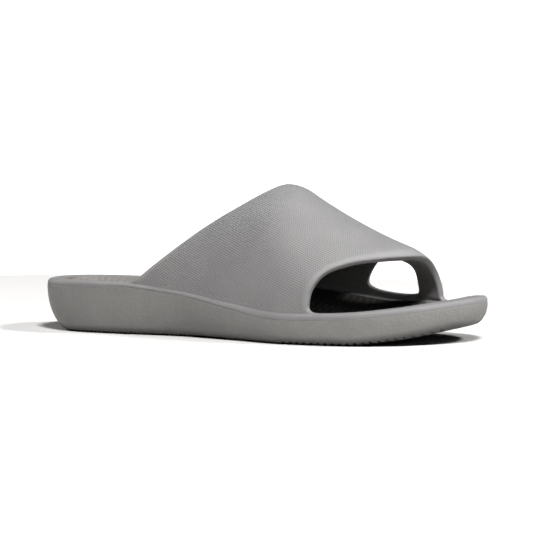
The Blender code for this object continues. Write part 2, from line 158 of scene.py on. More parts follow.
# %% Outline, lip line and rim
HEEL_ROUND = 0.040
TOE_ROUND_LATERAL = 0.085
TOE_ROUND_MEDIAL = 0.050
HEEL_SQUARENESS = 2.2
TOE_SQUARENESS = 2.3


def end_round(distance, length, squareness):
    """Share of full width at a distance from a rounded end, from 0 to 1."""
    t = min(max(1 - distance / length, 0.0), 1.0)
    return (1 - t ** squareness) ** (1 / squareness)


def edge_y(x, side):
    """Sideways place of the outline at x on one side."""
    at = x / LENGTH
    width = SECTION["lateral" if side == LATERAL else "medial"](at) * BALL_WIDTH
    toe_round = TOE_ROUND_LATERAL if side == LATERAL else TOE_ROUND_MEDIAL
    width *= end_round(x, HEEL_ROUND, HEEL_SQUARENESS)
    width *= end_round(LENGTH - x, toe_round, TOE_SQUARENESS)
    return SECTION["middle"](at) * BALL_WIDTH + side * width


def lip_line(x, side):
    """Height of the joint between sole and lip."""
    name = "lip_lateral" if side == LATERAL else "lip_medial"
    return SECTION[name](x / LENGTH) * HEEL_HEIGHT


def base_height(x):
    """Height of the underside above the floor: 0 where it stands, more under the toes."""
    return SECTION["base"](x / LENGTH) * HEEL_HEIGHT


def outline_middle():
    """Sideways middle of the whole outline."""
    places = [LENGTH * step / 200 for step in range(1, 200)]
    return (max(edge_y(x, MEDIAL) for x in places) + min(edge_y(x, LATERAL) for x in places)) / 2


class Rim:
    """Stations round the outline: heel, lateral side, toe, medial side, back to the heel."""

    def __init__(self, lateral_places, medial_places):
        self.stations = [(0.0, LATERAL)]
        self.stations += [(x, LATERAL) for x in lateral_places]
        self.stations.append((LENGTH, LATERAL))
        self.stations += [(x, MEDIAL) for x in reversed(medial_places)]
        self.count = len(self.stations)
        self.toe = len(lateral_places) + 1

    def inward(self, index):
        x, side = self.stations[index]
        if index == 0:
            return (1.0, 0.0)
        if index == self.toe:
            return (-1.0, 0.0)
        reach = 0.00002
        slope = (edge_y(x + reach, side) - edge_y(x - reach, side)) / (2 * reach)
        length = math.hypot(slope, 1.0)
        return (side * slope / length, -side / length)

    def point(self, index, inset, height):
        """A point inset from the outline, at a height above the floor."""
        x, side = self.stations[index]
        along, across = self.inward(index)
        return Vector((x + along * inset, edge_y(x, side) + across * inset, height))

    def lip_height(self, index):
        x, side = self.stations[index]
        return lip_line(x, side)

    def pairs(self):
        """Lateral and medial stations that face each other, from heel to toe."""
        return [(index, self.count - index) for index in range(1, self.toe)]


TO_FRAME = Vector((-LENGTH / 2, -outline_middle(), 0.0))
print("outline middle:", round(outline_middle() / MM, 2), "mm")

# %% [markdown]
# ## The camera
# The photograph is taken from the lateral side, 25 degrees round towards the toes and only
# a little above the sandal. A long lens from over a metre away keeps the toe from looking
# large. The camera's place is worked out from a point over the middle of the sole, then
# the camera is turned so that this point lands on its pixel in a 533 pixel square picture.

# %% Camera
PICTURE = 533
FOCAL_PIXELS = 2055.0
CAMERA_AZIMUTH = math.radians(25.0)
CAMERA_ELEVATION = math.radians(4.2)
CAMERA_DISTANCE = 1.2
AIM_PIXEL = (256.7, 283.0)
SENSOR = 36.0
AIM = Vector((LENGTH / 2, 0.0, 0.030)) + TO_FRAME


def direction(azimuth, elevation):
    """Unit vector from the object towards an azimuth and elevation."""
    flat = math.cos(elevation)
    return Vector((math.sin(azimuth) * flat, -math.cos(azimuth) * flat, math.sin(elevation)))


sideways = math.atan((AIM_PIXEL[0] - PICTURE / 2) / FOCAL_PIXELS)
downward = math.atan((AIM_PIXEL[1] - PICTURE / 2) / FOCAL_PIXELS * math.cos(sideways))
backward = direction(CAMERA_AZIMUTH + sideways, CAMERA_ELEVATION - downward)
camera = bpy.data.objects.new("camera", bpy.data.cameras.new("camera"))
bpy.context.scene.collection.objects.link(camera)
camera.data.sensor_width = SENSOR
camera.data.lens = FOCAL_PIXELS / PICTURE * SENSOR
camera.data.clip_start = 0.01
camera.location = AIM + direction(CAMERA_AZIMUTH, CAMERA_ELEVATION) * CAMERA_DISTANCE
camera.rotation_mode = "QUATERNION"
camera.rotation_quaternion = (-backward).to_track_quat("-Z", "Y")
bpy.context.scene.camera = camera
print("lens:", round(camera.data.lens, 1), "mm")

# %% [markdown]
# ## Small tools for meshes
# Every piece is made of rows of points joined with quads. These helpers place stations
# along the outline, join two rows, and turn the finished mesh into a smooth object in the
# frame's place.

# %% Mesh tools
def eased_places(start, end, steps, ease_start, ease_end):
    """Places from start to end, closer together at the eased ends, ends left out."""
    first = 0.0 if ease_start else math.pi / 2
    last = math.pi if ease_end else math.pi / 2
    angles = [first + (last - first) * step / steps for step in range(1, steps)]
    whole = math.cos(first) - math.cos(last)
    return [start + (end - start) * (math.cos(first) - math.cos(angle)) / whole for angle in angles]


def spread(*stops):
    """Places from stop to stop. A stop is a place and the even steps up to the next one."""
    places = []
    for (start, steps), (end, _) in zip(stops, stops[1:]):
        places += [start + (end - start) * step / steps for step in range(steps)]
    return places + [stops[-1][0]]


def join_strips(mesh, strip_a, strip_b):
    """Quads between two rows of corners."""
    for a, b, c, d in zip(strip_a, strip_a[1:], strip_b[1:], strip_b):
        corners = []
        for corner in (a, b, c, d):
            if corner not in corners:
                corners.append(corner)
        if len(corners) > 2:
            mesh.faces.new(corners)


def join_all(mesh, strips):
    """Quads between each row of corners and the next one."""
    for strip, following in zip(strips, strips[1:]):
        join_strips(mesh, strip, following)


def closed(strip):
    return strip + strip[:1]


def make_object(mesh, name):
    """Turn a mesh into a smooth object in the frame's place."""
    bmesh.ops.recalc_face_normals(mesh, faces=mesh.faces)
    bmesh.ops.translate(mesh, verts=mesh.verts, vec=TO_FRAME)
    data = bpy.data.meshes.new(name)
    mesh.to_mesh(data)
    mesh.free()
    data.shade_smooth()
    piece = bpy.data.objects.new(name, data)
    bpy.context.scene.collection.objects.link(piece)
    return piece


def apply_modifiers(piece):
    """Keep what the modifiers make as the piece's own mesh."""
    evaluated = piece.evaluated_get(bpy.context.evaluated_depsgraph_get())
    data = bpy.data.meshes.new_from_object(evaluated)
    piece.modifiers.clear()
    piece.data = data


def triangles(piece):
    return sum(len(face.vertices) - 2 for face in piece.data.polygons)


def smooth_step(start, end, values):
    """0 below start, 1 above end, and a smooth rise between, for numbers or arrays."""
    t = np.clip((np.asarray(values, float) - start) / (end - start), 0.0, 1.0)
    return t * t * (3 - 2 * t)


def hump(values, rise, fall):
    """0, then 1 between a smooth rise and a smooth fall, then 0 again."""
    return smooth_step(*rise, values) - smooth_step(*fall, values)


# %% [markdown]
# ## The strap as a surface
# The strap is an arch over the foot. A share runs along it from the rear edge to the toe
# opening, and a turn runs over it from the lateral lip to the medial lip. The arch is a
# superellipse a little fuller than a half circle, because foam is moulded round a last and
# isn't flat. The same function gives the skin, its direction outward and, later, the place
# of every row of the texture. At the toe opening the mould rolls the outside down over the
# edge, most on top of the arch, and the inner skin ends a little further back.

# %% The strap's surface
WALL = 0.0045
FRONT_WALL = 0.0058
FRONT_BEAD = 0.12
ROLL_TURNS = (0.0, 0.10, 0.30, 0.75, 1.0)
ROLL_SHARES = (0.0, 0.0, 1.0, 0.6, 0.0)
ROLL_START = 0.89
ROLL_DEPTH = 0.0022
ROLL_POWER = 2.2
UNDERCUT = 0.024
LIP_WIDTH = 0.0090
LIP_HEIGHT = 0.0037
STRAP_INSET = 0.0024
STRAP_FULLNESS = 2.1
REAR_FLARE = 0.008
FRONT_FLARE = 0.0042


def strap_surface(share, turn):
    """Point on the outside of the strap."""
    rear, front = EDGE_AT["rear"](turn), EDGE_AT["front"](turn)
    x = (rear + (front - rear) * share) * LENGTH
    side = LATERAL if turn < 0.5 else MEDIAL
    foot_y = edge_y(x, side) - side * STRAP_INSET
    foot_z = lip_line(x, side) + LIP_HEIGHT
    ridge_y = RIDGE_AT["place"](x / LENGTH) * BALL_WIDTH
    ridge_z = RIDGE_AT["height"](x / LENGTH) * INSTEP_HEIGHT
    angle = math.pi * turn
    across = abs(math.cos(angle)) ** (2 / STRAP_FULLNESS)
    upward = abs(math.sin(angle)) ** (2 / STRAP_FULLNESS)
    y = ridge_y + (foot_y - ridge_y) * across
    z = foot_z + (ridge_z - foot_z) * upward
    return Vector((x, y, z))


def strap_outward(share, turn):
    """Outward direction of the strap at a point."""
    reach = 0.002
    ahead = strap_surface(share + reach, turn) - strap_surface(share - reach, turn)
    over = strap_surface(share, turn + reach) - strap_surface(share, turn - reach)
    return ahead.cross(over).normalized()


def wall_thickness(share):
    """Thickness of the strap, which swells to a bead along its front edge."""
    return WALL + (FRONT_WALL - WALL) * float(smooth_step(1 - FRONT_BEAD, 1.0, share))


def roll_depth(share, turn):
    """How far the outside rolls down towards the front edge, most on top of the arch."""
    t = min(max((share - ROLL_START) / (1 - ROLL_START), 0.0), 1.0)
    return ROLL_DEPTH * t ** ROLL_POWER * float(np.interp(turn, ROLL_TURNS, ROLL_SHARES))


def skin_points(share, turn):
    """Points of the outer and the inner skin; on the front edge the inner one lies back."""
    point, outward = strap_surface(share, turn), strap_outward(share, turn)
    back = share
    if share > ROLL_START:
        back -= UNDERCUT * roll_depth(share, turn) / ROLL_DEPTH
    inner = strap_surface(back, turn) - strap_outward(back, turn) * wall_thickness(share)
    return point - outward * roll_depth(share, turn), inner


print("top of the arch:", round(strap_surface(0.0, 0.5).z / MM, 1), "mm")

# %% [markdown]
# ## The window
# The inner wall of the strap has a rounded opening low at the front, where light falls
# in. It is made in the grid itself, by leaving quads out and pulling the lines round them
# onto a superellipse, which is rounder in the corner at the top front. A Boolean cut would
# do it too, but would leave slivers that spoil a subdivided edge.

# %% Window and rounded edges
WINDOW_REAR = 0.720
WINDOW_FRONT = 0.918
WINDOW_TOP = 0.755
WINDOW_FOOT = 0.988
WINDOW_SQUARENESS = 5.5
WINDOW_TOP_FRONT_SQUARENESS = 3.2
WINDOW_REACH = 1.8
WINDOW_TAPER = 0.15
WINDOW_SLANT = 0.012
NOSE_STEPS = 6
NOSE_SQUARENESS = 3.2
NOSE_DEPTH = 0.62


def in_window_units(share, turn):
    """Place seen from the window's middle, where 1 is half its width or half its height."""
    a = (share - (WINDOW_FRONT + WINDOW_REAR) / 2) / ((WINDOW_FRONT - WINDOW_REAR) / 2)
    b = (turn - (WINDOW_FOOT + WINDOW_TOP) / 2) / ((WINDOW_FOOT - WINDOW_TOP) / 2)
    return a, b


def round_the_window(share, turn):
    """Pull the lines near the window from its square frame onto its rounded outline."""
    a, b = in_window_units(share, turn)
    square = max(abs(a), abs(b))
    if square < 0.999 or square >= WINDOW_REACH:
        return share, turn
    power = WINDOW_TOP_FRONT_SQUARENESS if a > 0 > b else WINDOW_SQUARENESS
    rounded = (abs(a / square) ** power + abs(b / square) ** power) ** (-1 / power)
    fade = min((WINDOW_REACH - square) / (WINDOW_REACH - 1), 1.0)
    pull = (rounded - 1) * fade
    taper = (1 + pull) * WINDOW_TAPER * max(min(b, 1.0), -1.0) * fade
    share += a * (pull + taper) * (WINDOW_FRONT - WINDOW_REAR) / 2
    turn += b * pull * (WINDOW_FOOT - WINDOW_TOP) / 2
    turn -= WINDOW_SLANT * max(b, 0.0) * (1 - max(min(a, 1.0), -1.0)) / 2 * fade
    return share, turn


def nose_points(outer, inner, forward):
    """Points of the edge between the two skins: flat in front, with rounded corners."""
    middle = (outer + inner) / 2
    upward = (outer - inner) / 2
    sideways = forward.normalized() * upward.length * NOSE_DEPTH
    points = []
    for step in range(1, NOSE_STEPS):
        angle = math.pi * step / NOSE_STEPS
        rise = math.copysign(abs(math.cos(angle)) ** (2 / NOSE_SQUARENESS), math.cos(angle))
        reach = math.sin(angle) ** (2 / NOSE_SQUARENESS)
        points.append(middle + upward * rise + sideways * reach)
    return points


def square_to(vector, *others):
    """The part of a vector that is square to the others."""
    for other in others:
        unit = other.normalized()
        vector = vector - unit * vector.dot(unit)
    return vector


# %% [markdown]
# ## The lip
# The lip is the bead round the whole sandal. In the mould it is one with the strap, and it
# is bonded down on the sole, so only a soft crease shows between them. Its section is
# rounded outside, and its foot turns in and down into the sole, which leaves a shallow
# groove and no gap. Under the rear half of the strap the crease lies higher, and the lip is
# only a thin line.

# %% Lip and the cage's grid
FIT = 0.0003
CREASE = 0.00042
CREASE_AT_ENDS = 0.4
CREASE_OPENS = (0.12, 0.34)
CREASE_CLOSES = (0.45, 0.90)
LIP_FOOT = ((2.4, -2.0), (1.0, -0.2), (0.25, 0.4))
HEEL_STEPS = 12
TOE_STEPS = 15
COLUMNS_BEHIND_WINDOW = 20
WINDOW_COLUMNS = 8
COLUMNS_BEFORE_WINDOW = 3
ROWS_ABOVE_WINDOW = 28
WINDOW_ROWS = 8
LIP_OUTER = ((0.0, 0.16), (0.01, 0.52), (0.08, 0.83), (0.20, 0.98))
LIP_INNER = ((0.92, 0.95), (1.0, 0.82))
LIP_THINNING = 0.0015
THIN_FROM = (0.14, 0.26)
THIN_UNTIL = (0.40, 0.60)
# Shares along the strap, and turns over the foot.
COLUMNS = spread(
    (0.0, COLUMNS_BEHIND_WINDOW), (WINDOW_REAR, WINDOW_COLUMNS),
    (WINDOW_FRONT, COLUMNS_BEFORE_WINDOW), (1.0, 0))
TURNS = spread(
    (0.0, 1), (1 - WINDOW_FOOT, ROWS_ABOVE_WINDOW), (WINDOW_TOP, WINDOW_ROWS), (WINDOW_FOOT, 1), (1.0, 0))


def rim_for_strap():
    """Rim whose stations line up with the strap's columns on both sides."""
    sides = []
    for turn in (0.0, 1.0):
        rear = EDGE_AT["rear"](turn) * LENGTH - REAR_FLARE
        front = EDGE_AT["front"](turn) * LENGTH + FRONT_FLARE
        places = eased_places(0.0, rear, HEEL_STEPS, True, False)
        places += [rear + (front - rear) * share for share in COLUMNS]
        places += eased_places(front, LENGTH, TOE_STEPS, False, True)
        sides.append(places)
    return Rim(sides[0], sides[1])


def crease_depth(x):
    """Depth of the crease under the lip, which nearly closes at the heel and the toe."""
    open_share = hump(x / LENGTH, CREASE_OPENS, CREASE_CLOSES)
    return CREASE * (CREASE_AT_ENDS + (1 - CREASE_AT_ENDS) * float(open_share))


def lip_base(x):
    """How far the crease is raised, so that the lip is thin under the strap's rear half."""
    return LIP_THINNING * float(hump(x / LENGTH, THIN_FROM, THIN_UNTIL))


def lip_profile(x):
    """The lip seen end on, from its foot in the crease over the top to its inner foot."""
    depth, base = crease_depth(x), lip_base(x)
    low = base + FIT
    profile = [(inset * depth, base + rise * depth) for inset, rise in LIP_FOOT]
    profile += [(inset * LIP_WIDTH, low + rise * (LIP_HEIGHT - low)) for inset, rise in LIP_OUTER]
    for step in range(NOSE_STEPS + 1):
        profile.append((STRAP_INSET + WALL * step / NOSE_STEPS, LIP_HEIGHT))
    profile += [(inset * LIP_WIDTH, FIT + rise * (LIP_HEIGHT - FIT)) for inset, rise in LIP_INNER]
    profile += [(LIP_WIDTH, FIT), (LIP_WIDTH, -2 * depth)]
    return profile


print("strap columns:", len(COLUMNS), "turns:", len(TURNS))

# %% [markdown]
# ## The cage of the strap
# The cage is a coarse closed mesh of outer skin, inner skin and rounded edges, with the
# window left open. Each corner carries its share, its turn and whether it is skin.
# Subdivision will spread these numbers too, so that each fine point still knows where it
# is on the strap.

# %% Build the strap
def mark(corner, layers, share, turn, skin=0.0):
    """Write down where on the strap a corner is."""
    for name, value in (("share", share), ("turn", turn), ("skin", skin)):
        corner[layers[name]] = value


def build_strap(mesh, layers, lateral, medial, outer_line, inner_line):
    """The strap's two skins, its rounded edges and the window."""
    last_column, last_turn = len(COLUMNS) - 1, len(TURNS) - 1
    outside, inside = {}, {}
    for column, share in enumerate(COLUMNS):
        for row, turn in enumerate(TURNS):
            if row in (0, last_turn):
                foot = lateral[column] if row == 0 else medial[column]
                outside[column, row] = foot[outer_line]
                inside[column, row] = foot[inner_line]
                continue
            pulled = round_the_window(share, turn)
            outer, inner = skin_points(*pulled)
            outside[column, row] = mesh.verts.new(outer)
            inside[column, row] = mesh.verts.new(inner)
            for corner in (outside[column, row], inside[column, row]):
                mark(corner, layers, *pulled, skin=1.0)

    window_columns = (COLUMNS_BEHIND_WINDOW, COLUMNS_BEHIND_WINDOW + WINDOW_COLUMNS)
    window_rows = (1 + ROWS_ABOVE_WINDOW, 1 + ROWS_ABOVE_WINDOW + WINDOW_ROWS)
    # Both skins leave out the quads of the window.
    for skin in (outside, inside):
        for column in range(last_column):
            for row in range(last_turn):
                in_columns = window_columns[0] <= column < window_columns[1]
                in_rows = window_rows[0] <= row < window_rows[1]
                if in_columns and in_rows:
                    continue
                corners = ((column, row), (column + 1, row), (column + 1, row + 1), (column, row + 1))
                mesh.faces.new([skin[corner] for corner in corners])

    def edge_nose(place, forward, along):
        """One row round the edge, from the outer to the inner skin."""
        outer, inner = outside[place], inside[place]
        forward = square_to(forward, outer.co - inner.co, along)
        row = []
        for point in nose_points(outer.co, inner.co, forward):
            corner = mesh.verts.new(point)
            mark(corner, layers, outer[layers["share"]], outer[layers["turn"]])
            row.append(corner)
        return [outer] + row + [inner]

    for column, neighbour in ((0, 1), (last_column, last_column - 1)):
        noses = [lateral[column][outer_line:inner_line + 1]]
        for row in range(1, last_turn):
            along = outside[column, row + 1].co - outside[column, row - 1].co
            forward = outside[column, row].co - outside[neighbour, row].co
            noses.append(edge_nose((column, row), forward, along))
        noses.append(medial[column][outer_line:inner_line + 1])
        join_all(mesh, noses)

    # The window's frame is walked round once, so that its edge closes on itself.
    window = [(column, window_rows[0]) for column in range(*window_columns)]
    window += [(window_columns[1], row) for row in range(*window_rows)]
    window += [(column, window_rows[1]) for column in range(window_columns[1], window_columns[0], -1)]
    window += [(window_columns[0], row) for row in range(window_rows[1], window_rows[0], -1)]
    centre = sum((outside[place].co for place in window), Vector()) / len(window)
    noses = []
    for index, place in enumerate(window):
        before, after = window[index - 1], window[(index + 1) % len(window)]
        along = outside[after].co - outside[before].co
        noses.append(edge_nose(place, centre - outside[place].co, along))
    join_all(mesh, closed(noses))
    for corner in [vertex for vertex in mesh.verts if not vertex.link_faces]:
        mesh.verts.remove(corner)


print("quads left out for the window:", WINDOW_COLUMNS * WINDOW_ROWS, "on each skin")

# %% [markdown]
# ## The upper, from cage to skin
# A ring of corners stands at each station of the lip. Under the strap the rings are left
# open on top, and the strap's two skins grow out of them. Subdivision then rounds every
# corner as a mould does.

# %% Build the upper
def build_upper():
    """One moulded wall: a lip all round the sole and the strap that grows out of it."""
    mesh = bmesh.new()
    layers = {name: mesh.verts.layers.float.new(name) for name in ("share", "turn", "skin")}
    rim = rim_for_strap()
    outer_line = len(LIP_FOOT) + len(LIP_OUTER)
    inner_line = outer_line + NOSE_STEPS
    lip = []
    for index in range(rim.count):
        height = rim.lip_height(index)
        profile = lip_profile(rim.stations[index][0])
        lip.append([mesh.verts.new(rim.point(index, inset, height + rise)) for inset, rise in profile])

    last = len(COLUMNS) - 1
    lateral_start = HEEL_STEPS
    medial_start = rim.count - HEEL_STEPS
    lateral = [lip[lateral_start + step] for step in range(last + 1)]
    medial = [lip[medial_start - step] for step in range(last + 1)]
    for turn, side in ((0.0, lateral), (1.0, medial)):
        for share, ring in zip(COLUMNS, side):
            for corner in ring:
                mark(corner, layers, share, turn)
    under_strap = set(range(lateral_start, lateral_start + last))
    under_strap |= set(range(medial_start - last, medial_start))
    for index in range(rim.count):
        ring, following = lip[index], lip[(index + 1) % rim.count]
        join_strips(mesh, ring[:outer_line + 1], following[:outer_line + 1])
        join_strips(mesh, ring[inner_line:] + ring[:1], following[inner_line:] + following[:1])
        if index not in under_strap:
            join_strips(mesh, ring[outer_line:inner_line + 1], following[outer_line:inner_line + 1])

    build_strap(mesh, layers, lateral, medial, outer_line, inner_line)
    return make_object(mesh, "upper_foam")


upper = build_upper()
rounding = upper.modifiers.new("rounding", "SUBSURF")
rounding.levels = 2
rounding.render_levels = 2
apply_modifiers(upper)
print("upper:", triangles(upper), "triangles")

# %% [markdown]
# ## Where the texture lies on the strap
# The mould gives the strap a woven look: fine rows that run down towards the toes, with
# every second row shifted by half a cell. Rows on a curved sheet can't come from x, y and z
# alone, because they would stretch on the steep sides. So each point gets two lengths of
# its own: how far it is down the slope of the ridge, and how far round the arch from one
# level row. Planes square to the slope cut the arch, and the length along each cut is
# measured. The texture is deepest at the rear, and fades out before every edge.

# %% Texture places on the upper
SLOPE = math.radians(21.5)
DOWN_THE_SLOPE = Vector((math.cos(SLOPE), 0.0, -math.sin(SLOPE)))
ACROSS_THE_SLOPE = Vector((math.sin(SLOPE), 0.0, math.cos(SLOPE)))
LEVEL_ROW = 0.088
TABLE_TURNS = np.linspace(0.0, 1.0, 61)
TABLE_CUTS = np.linspace(0.02, 0.24, 45)
SMOOTH_FRONT_TURNS = (0.0, 0.12, 0.30, 0.50, 1.0)
SMOOTH_FRONT = (0.6 * MM, 1.0 * MM, 2.8 * MM, 4.2 * MM, 4.0 * MM)
FADE = 1.2 * MM
TEXTURE_PLACES = (0.36, 0.58)
TEXTURE_SHARES = (1.35, 1.05)
SMOOTH_REAR = (1.0 * MM, 1.8 * MM)
SMOOTH_FOOT = (0.6 * MM, 1.4 * MM)
SMOOTH_WINDOW = (1.10, 1.22)
HIGHLIGHT_WIDTH = 3.0 * MM


def share_on_cut(cut, turn):
    """Share at which a line of equal turn crosses a plane square to the slope."""
    low, high = -1.5, 2.5
    for _ in range(24):
        middle = (low + high) / 2
        if strap_surface(middle, turn).dot(DOWN_THE_SLOPE) < cut:
            low = middle
        else:
            high = middle
    return (low + high) / 2


def girth_table():
    """Length round the arch from one level row, for each cut (row) and each turn (column)."""
    table = []
    lateral_half = TABLE_TURNS <= 0.5
    for cut in TABLE_CUTS:
        points = np.array([strap_surface(share_on_cut(cut, turn), turn) for turn in TABLE_TURNS])
        lengths = np.concatenate([[0.0], np.cumsum(np.linalg.norm(np.diff(points, axis=0), axis=1))])
        heights = points @ np.array(ACROSS_THE_SLOPE)
        table.append(lengths - np.interp(LEVEL_ROW, heights[lateral_half], lengths[lateral_half]))
    return np.array(table)


def look_up(table, rows, columns):
    """Values between the entries of a table, at fractional rows and columns."""
    rows = np.clip(rows, 0, table.shape[0] - 1.001)
    columns = np.clip(columns, 0, table.shape[1] - 1.001)
    row, column = rows.astype(int), columns.astype(int)
    down, over = rows - row, columns - column
    top = table[row, column] * (1 - over) + table[row, column + 1] * over
    foot = table[row + 1, column] * (1 - over) + table[row + 1, column + 1] * over
    return top * (1 - down) + foot * down


def numbers(data, name):
    """A point attribute as an array."""
    values = np.zeros(len(data.vertices))
    data.attributes[name].data.foreach_get("value", values)
    return values


def keep_numbers(data, name, values):
    """Store an array as a point attribute, for a material to read."""
    layer = data.attributes.new(name, "FLOAT", "POINT")
    layer.data.foreach_set("value", np.asarray(values, np.float32))


def point_places(data):
    """Where the points of a mesh lie, measured from the heel."""
    places = np.zeros(len(data.vertices) * 3)
    data.vertices.foreach_get("co", places)
    return places.reshape(-1, 3) - np.array(TO_FRAME)


def texture_places(piece):
    """Give each point its place in the texture, and how strong the texture is there."""
    data = piece.data
    share, turn = numbers(data, "share"), numbers(data, "turn")
    places = point_places(data)
    down = places @ np.array(DOWN_THE_SLOPE)
    rows = (down - TABLE_CUTS[0]) / (TABLE_CUTS[1] - TABLE_CUTS[0])
    girth = look_up(girth_table(), rows, turn / TABLE_TURNS[1])

    steps = np.linspace(0, 1, 41)
    lengths = [(strap_surface(1.0, t) - strap_surface(0.0, t)).length for t in steps]
    length = np.interp(turn, steps, lengths)
    from_rear, from_front = share * length, (1 - share) * length
    halves = [(strap_surface(0.5, t) - strap_surface(0.5, round(t))).length for t in steps]
    from_foot = np.interp(turn, steps, halves)
    a, b = in_window_units(share, turn)
    power = WINDOW_SQUARENESS
    outline = (np.abs(a) ** power + np.abs(b) ** power) ** (1 / power)
    strength = smooth_step(0.5, 0.95, numbers(data, "skin"))
    border = np.interp(turn, SMOOTH_FRONT_TURNS, SMOOTH_FRONT)
    strength *= smooth_step(0.0, FADE, from_front - border) * smooth_step(*SMOOTH_REAR, from_rear)
    strength *= smooth_step(*SMOOTH_FOOT, from_foot) * smooth_step(*SMOOTH_WINDOW, outline)
    strength *= np.interp(places[:, 0] / LENGTH, TEXTURE_PLACES, TEXTURE_SHARES)
    keep_numbers(data, "down_slope_mm", down / MM)
    keep_numbers(data, "round_arch_mm", girth / MM)
    keep_numbers(data, "texture", strength)
    # Painted highlight: the skin is a touch lighter within a few millimetres of the front and rear edges.
    edge = np.minimum(from_front, from_rear)
    keep_numbers(data, "painted_edge_highlight", 1 - smooth_step(0.0, HIGHLIGHT_WIDTH, edge))
    print("arch, half girth:", round(float(girth.max() / MM), 1), "mm")


texture_places(upper)

# %% [markdown]
# ## The sole
# The sole carries the foot: its wall tucks in to the floor and its toe springs up. The wall
# is swept round the rim as a curve that leaves the lip upright. Its top edge is rounded to
# meet the foot of the lip in the crease. The tread is cut across it afterwards.

# %% Build the sole
DISH_END = 0.034
DISH_POWER = 2.4
WALL_TUCK_POWER = 2.1
BED_THICKNESS = 0.0030
SOLE_STEPS = 150
SOLE_WALL_STEPS = 26
UNDERSIDE_SHARES = [step / 12 for step in range(1, 12)]
SEAT_STEPS = 12
EDGE_ARC = ((1.9, 0.1), (1.0, 0.0), (0.45, -0.25), (0.12, -0.75), (0.0, -1.5))


def even_rim(steps):
    places = eased_places(0.0, LENGTH, steps, True, True)
    return Rim(places, places)


def ring_of(mesh, rim, inset, height):
    """Corners all round the rim; inset and height are functions of a station."""
    return [mesh.verts.new(rim.point(index, inset(index), height(index))) for index in range(rim.count)]


def dish_height(x, share, side):
    """Height of the footbed's seat, at a share of the way from the middle to one side."""
    centre = SECTION["bed"](x / LENGTH) * HEEL_HEIGHT - BED_THICKNESS - FIT
    rise = lip_line(x, side) - centre
    inner_end = end_round(x - LIP_WIDTH, DISH_END, 2.0)
    inner_end *= end_round(LENGTH - LIP_WIDTH - x, DISH_END, 2.0)
    return lip_line(x, side) - rise * (1 - abs(share) ** DISH_POWER) * inner_end


def dished_rows(mesh, rim, ring, lift, row_steps, relief):
    """Rows across the foot between facing stations of a ring, closed at heel and toe."""
    rows = []
    for lateral, medial in rim.pairs():
        row = [ring[lateral]]
        start, end = ring[lateral].co, ring[medial].co
        for step in range(1, row_steps):
            t = step / row_steps
            share = 2 * t - 1
            point = start.lerp(end, t)
            low = dish_height(point.x, share, LATERAL)
            high = dish_height(point.x, share, MEDIAL)
            blend = float(smooth_step(-0.3, 0.3, share))
            point.z = low * (1 - blend) + high * blend + lift
            point.z += relief(point, min(t, 1 - t) * (end - start).length)
            row.append(mesh.verts.new(point))
        row.append(ring[medial])
        rows.append(row)
    close_rows(mesh, rim, ring, rows)


def close_rows(mesh, rim, ring, rows):
    """Faces between rows, and fans from the first and last row to the two tips."""
    join_all(mesh, rows)
    for tip, row in ((ring[0], rows[0]), (ring[rim.toe], rows[-1])):
        for a, b in zip(row, row[1:]):
            mesh.faces.new((tip, a, b))


def build_sole():
    """Side wall that tucks in to the floor, flat underside, toe spring and seat."""
    mesh = bmesh.new()
    rim = even_rim(SOLE_STEPS)

    def tuck(index):
        return SECTION["tuck"](rim.stations[index][0] / LENGTH) * BALL_WIDTH

    def crease(index):
        return crease_depth(rim.stations[index][0])

    def edge_height(index):
        return rim.lip_height(index) + lip_base(rim.stations[index][0])

    seat = ring_of(mesh, rim, lambda _: LIP_WIDTH, rim.lip_height)
    rings = [seat]
    for inset, fall in EDGE_ARC:
        rings.append(ring_of(
            mesh, rim,
            lambda index: inset * crease(index),
            lambda index: edge_height(index) + fall * crease(index)))
    for step in range(1, SOLE_WALL_STEPS + 1):
        fall = 1 - math.cos(math.pi / 2 * step / SOLE_WALL_STEPS)
        fall = 0.5 * fall + 0.5 * step / SOLE_WALL_STEPS
        inward = 1 - (1 - fall ** WALL_TUCK_POWER) ** (1 / WALL_TUCK_POWER)

        def height(index):
            top = edge_height(index) + EDGE_ARC[-1][1] * crease(index)
            return top + (base_height(rim.stations[index][0]) - top) * fall

        rings.append(ring_of(mesh, rim, lambda index: tuck(index) * inward, height))
    join_all(mesh, [closed(ring) for ring in rings])
    dished_rows(mesh, rim, seat, 0.0, SEAT_STEPS, lambda point, inset: 0.0)

    foot = rings[-1]
    rows = []
    for lateral, medial in rim.pairs():
        start, end = foot[lateral].co, foot[medial].co
        row = [foot[lateral]]
        row += [mesh.verts.new(start.lerp(end, t)) for t in UNDERSIDE_SHARES]
        rows.append(row + [foot[medial]])
    close_rows(mesh, rim, foot, rows)
    foot_line = sorted((foot[index].co.x, foot[index].co.z) for index in range(1, rim.toe + 1))
    return make_object(mesh, "sole_foam"), foot_line


sole, FOOT_LINE = build_sole()
print("sole before the tread:", triangles(sole), "triangles")

# %% [markdown]
# ## The tread
# Fine ribs run across the heel and coarser ones under the ball, and the waist between is
# smooth. They are moulded in the real sole. Here wedges are cut out of it with an exact
# Boolean, each wedge square to the underside where it lies, so that the ribs show as small
# teeth along the lower edge of the wall.

# %% Cut the tread
CUTTER_CLEARANCE = 0.002
TREAD_ZONES = (
    {"start": 0.060, "end": 0.500, "pitch": 2.9 * MM, "width": 1.5 * MM, "depth": 1.3 * MM},
    {"start": 0.640, "end": 0.950, "pitch": 4.1 * MM, "width": 2.1 * MM, "depth": 1.6 * MM},
)
GROOVE_FLOOR_SHARE = 0.6
TREAD_SHARP_ANGLE = math.radians(38)


def foot_height(x):
    """Height of the lower edge of the wall, for numbers or arrays."""
    return np.interp(x, [place for place, _ in FOOT_LINE], [height for _, height in FOOT_LINE])


